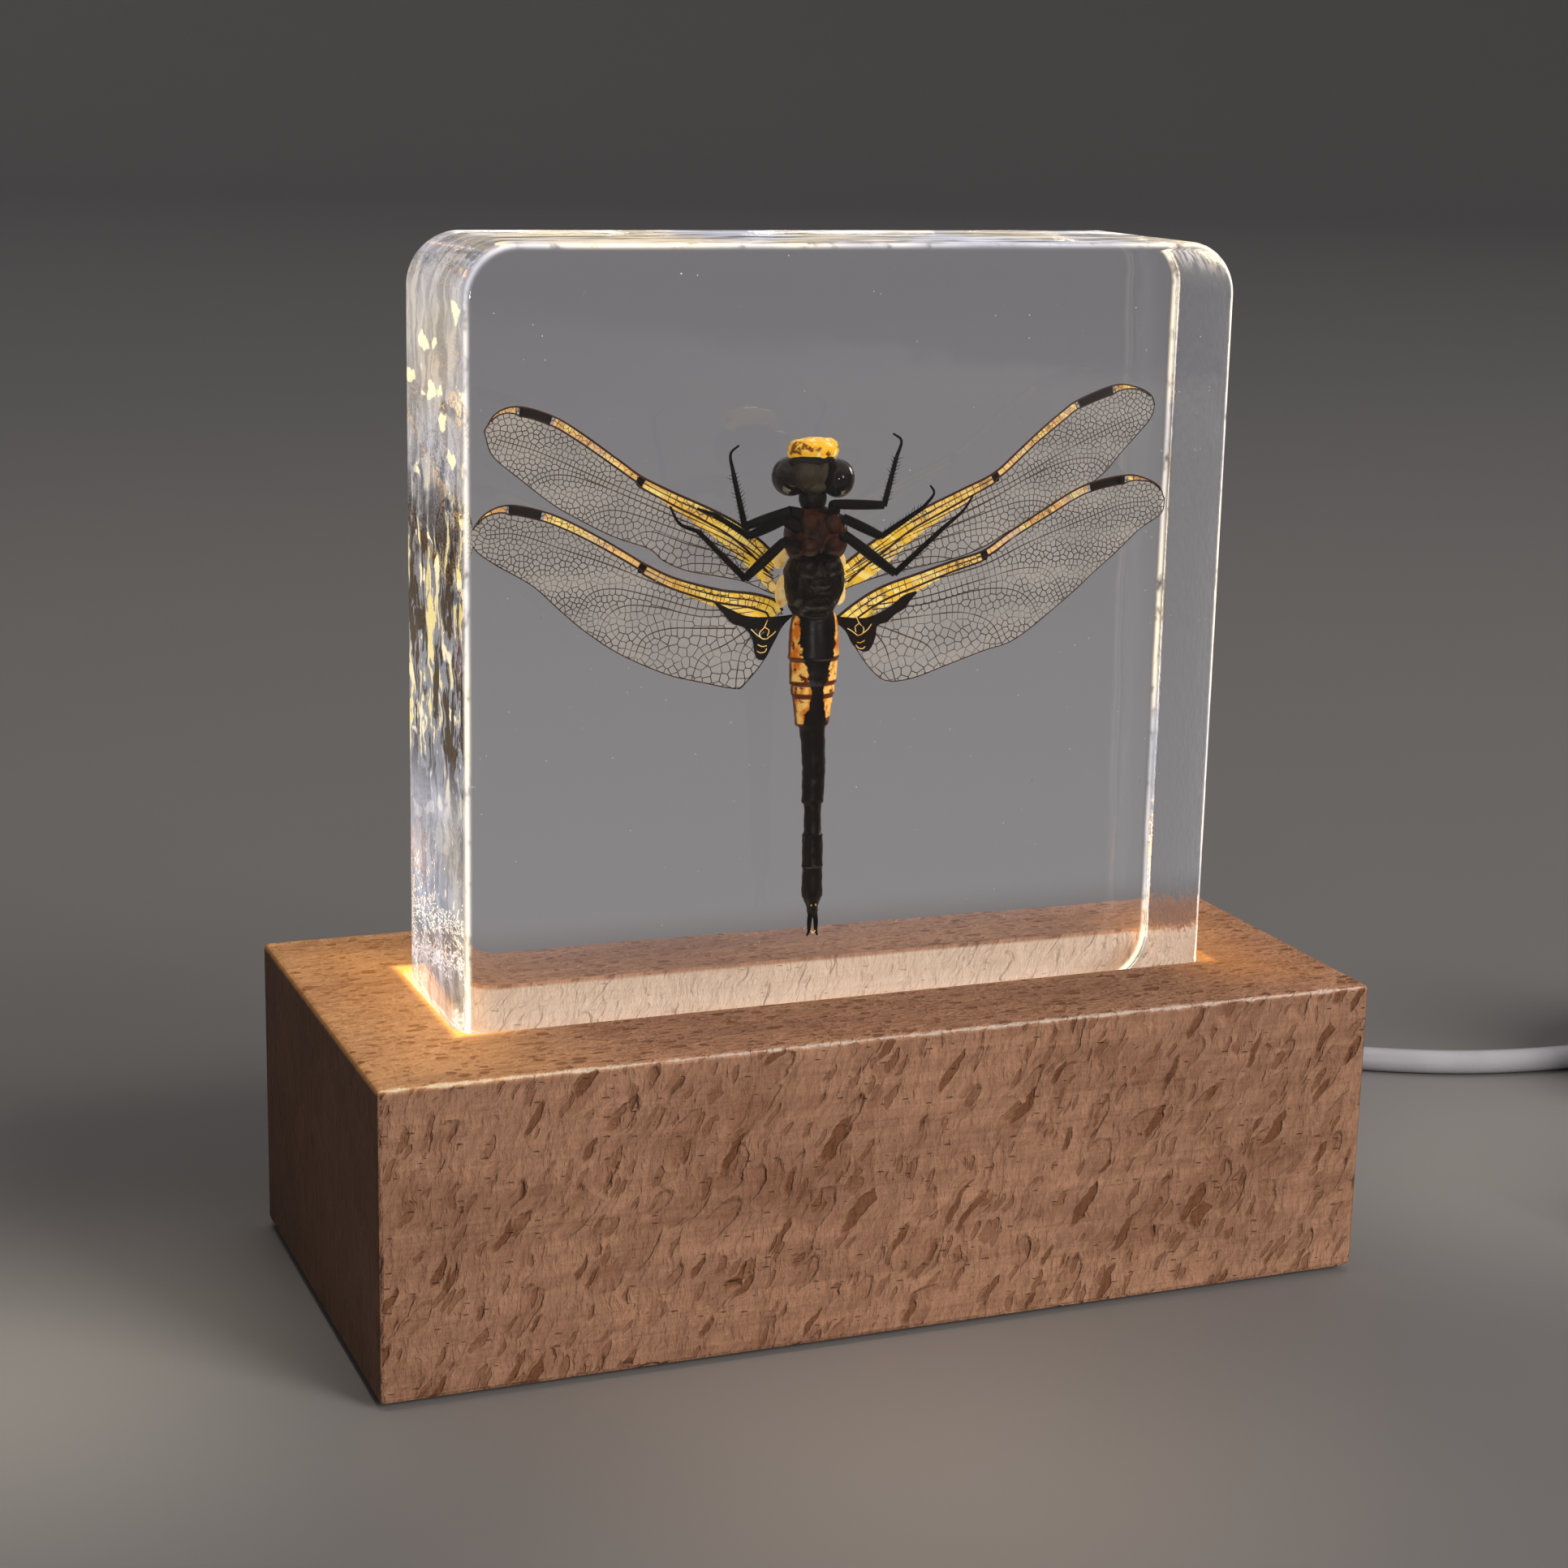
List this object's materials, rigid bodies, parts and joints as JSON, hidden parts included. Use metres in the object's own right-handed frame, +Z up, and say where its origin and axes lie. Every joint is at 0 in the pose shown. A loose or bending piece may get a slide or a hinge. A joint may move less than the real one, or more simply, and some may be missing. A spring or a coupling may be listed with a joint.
{
  "type": "insect in resin block on a lit wooden base",
  "caption": "Dragonfly cast in a clear upright resin slab, standing in the pocket of a lit beech base with a USB lead.",
  "frame": {"origin": "bottom centre of the base, on the surface that its four feet stand on", "axes": "+X to the right of the block's front face, +Y from the front to the back through the block's thickness, +Z up"},
  "size_m": [0.1988, 0.0924, 0.0995],
  "materials": {
    "resin": "clear polished cast resin",
    "beech": "bare quarter-sawn beech with ray fleck, lightly sanded",
    "frosted_acrylic": "frosted diffuser, lit from below",
    "white_board": "white solder-masked circuit board",
    "led": "LED package, lit warm white",
    "red_wire": "PVC wire",
    "black_wire": "PVC wire",
    "black_plastic": "fine textured black cover",
    "steel": "bright plated steel",
    "foot_rubber": "matt grey rubber",
    "white_lead": "white PVC, satin",
    "tie_black": "black twist tie"
  },
  "bodies": {
    "root": {"resin_block": "resin", "wood_base": "beech", "light_window": "frosted_acrylic", "led_board": "white_board", "led_1": "led", "led_2": "led", "led_3": "led", "led_4": "led", "led_5": "led", "led_6": "led", "wire_red": "red_wire", "wire_black": "black_wire", "bottom_cover": "black_plastic", "cover_screw_1": "steel", "cover_screw_2": "steel", "cover_screw_3": "steel", "cover_screw_4": "steel", "foot_1": "foot_rubber", "foot_2": "foot_rubber", "foot_3": "foot_rubber", "foot_4": "foot_rubber", "cable_boot": "white_lead", "cable": "white_lead", "cable_coil": "white_lead", "cable_tail": "white_lead", "cable_tie": "tie_black", "plug_relief": "white_lead", "plug_body": "white_lead", "plug_shell": "steel", "plug_tongue": "white_lead"}
  },
  "joints": []
}
